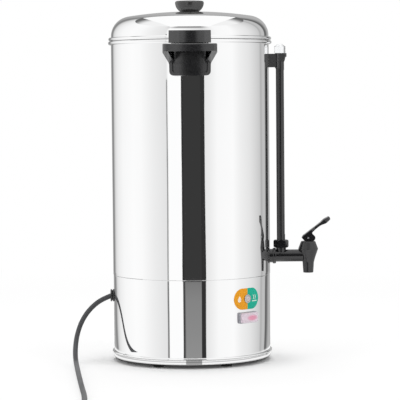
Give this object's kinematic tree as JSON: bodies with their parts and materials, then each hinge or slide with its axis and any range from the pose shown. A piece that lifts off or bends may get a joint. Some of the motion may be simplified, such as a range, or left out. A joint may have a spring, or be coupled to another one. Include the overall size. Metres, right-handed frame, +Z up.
{
  "type": "hot water urn",
  "caption": "Steel catering urn with a heated base, lever tap, level gauge, rocker switch, shelf handles and a domed twist lid with black catches.",
  "frame": {"origin": "on the surface the urn stands on, at the tank's axis", "axes": "+Z up along the tank's axis; +X towards the tap and the level gauge; the shelf handles are at -Y and +Y, the mains lead leaves at -X"},
  "size_m": [0.3603, 0.7865, 0.5018],
  "materials": {
    "polished_steel": "mirror polished stainless steel",
    "steel_fixings": "plain stainless fixings",
    "element_steel": "dulled element sheath",
    "cast_aluminium": "turned cast plate",
    "brass_fixings": "plain brass",
    "plug_nickel": "nickel plated pins",
    "black_plastic": "black heat-proof plastic, semi gloss",
    "dark_plastic": "black moulding",
    "grey_plastic": "grey moulding",
    "white_plastic": "white moulding",
    "red_plastic": "red button",
    "stem_plastic": "natural moulding",
    "ceramic_body": "steatite body",
    "wire_cover": "insulated wires",
    "panel_print": "printed capsule in two colours",
    "clear_grey": "lamp bezel",
    "lamp_lens": "clear lamp lens",
    "red_lens": "red translucent rocker",
    "clear_boot": "clear soft boot",
    "cap_clear": "clear faceted cap",
    "gauge_glass": "clear sight tube",
    "clear_silicone": "translucent silicone",
    "black_seal": "black seal",
    "foot_rubber": "black rubber",
    "cord_rubber": "dark rubber sheath",
    "plug_rubber": "moulded plug",
    "tie_band": "woven hook-and-loop band"
  },
  "bodies": {
    "urn": {"tank_shell": "polished_steel", "tank_floor": "polished_steel", "base_skirt": "polished_steel", "base_pan": "polished_steel", "feet": "foot_rubber", "skirt_brackets": "steel_fixings", "base_screws": "steel_fixings", "heat_plate": "cast_aluminium", "heating_element": "element_steel", "element_clamp": "steel_fixings", "clamp_nuts": "steel_fixings", "thermostat": "ceramic_body", "cutout_body": "dark_plastic", "terminal_block": "white_plastic", "terminal_screws": "brass_fixings", "inner_wires": "wire_cover", "label_plate": "panel_print", "lamp_holder": "clear_grey", "ready_lamp": "lamp_lens", "switch_frame": "grey_plastic", "switch_boot": "clear_boot", "cord_gland": "black_plastic", "gland_nut": "black_plastic", "cord_lead": "cord_rubber", "cord_coil": "cord_rubber", "cord_tail": "cord_rubber", "coil_tie": "tie_band", "plug_body": "plug_rubber", "plug_pins": "plug_nickel", "tap_shank": "black_plastic", "tap_washer": "black_seal", "tap_inner_seal": "black_seal", "tap_locknut": "steel_fixings", "tap_body": "black_plastic", "tap_bonnet": "black_plastic", "tap_spring": "steel_fixings", "gauge_glass": "gauge_glass", "gauge_guard": "black_plastic", "gauge_nut": "black_plastic", "gauge_seal": "clear_silicone", "gauge_bracket": "black_plastic", "bracket_screw": "steel_fixings", "handle_front": "black_plastic", "handle_rear": "black_plastic", "handle_screws": "steel_fixings", "handle_seals": "clear_silicone"},
    "lid_seal": {"lid_seal": "clear_silicone"},
    "lid": {"lid_shell": "polished_steel", "lid_knob": "black_plastic", "knob_screw": "steel_fixings", "lid_catch_front": "black_plastic", "lid_catch_rear": "black_plastic", "catch_rivets": "steel_fixings"},
    "stem": {"tap_stem": "stem_plastic", "seat_cup": "clear_silicone"},
    "lever": {"tap_lever": "black_plastic", "lever_pin": "steel_fixings"},
    "cap": {"gauge_cap": "cap_clear"},
    "rocker": {"switch_rocker": "red_lens"},
    "button": {"reset_button": "red_plastic"}
  },
  "joints": [
    {"name": "lid_lift", "type": "slide", "parent": "urn", "child": "lid_seal", "axis": [0, 0, 1], "range_m": [0, 0.08]},
    {"name": "lid_turn", "type": "hinge", "parent": "lid_seal", "child": "lid", "pos_m": [0, 0, 0.4461], "axis": [0, 0, 1], "range_deg": [0, 30]},
    {"name": "stem_lift", "type": "slide", "parent": "urn", "child": "stem", "axis": [0, 0, 1], "range_m": [0, 0.003], "stiffness_N_per_m": 300, "springref_m": -0.004, "deforming": ["tap_spring"]},
    {"name": "lever_pull", "type": "hinge", "parent": "stem", "child": "lever", "pos_m": [0.1637, 0, 0.169], "axis": [0, 1, 0], "range_deg": [0, 35]},
    {"name": "cap_lift", "type": "slide", "parent": "urn", "child": "cap", "axis": [0, 0, 1], "range_m": [0, 0.02]},
    {"name": "rocker_tip", "type": "hinge", "parent": "urn", "child": "rocker", "pos_m": [0.07558, -0.07965, 0.0666], "axis": [0, 0, 1], "range_deg": [-12, 0]},
    {"name": "button_press", "type": "slide", "parent": "urn", "child": "button", "axis": [0, 0, 1], "range_m": [0, 0.0012], "stiffness_N_per_m": 400, "springref_m": -0.001}
  ],
  "couplings": [
    {"joint": "lever_pull", "follows": "stem_lift", "rad_per_m": 203.62}
  ]
}
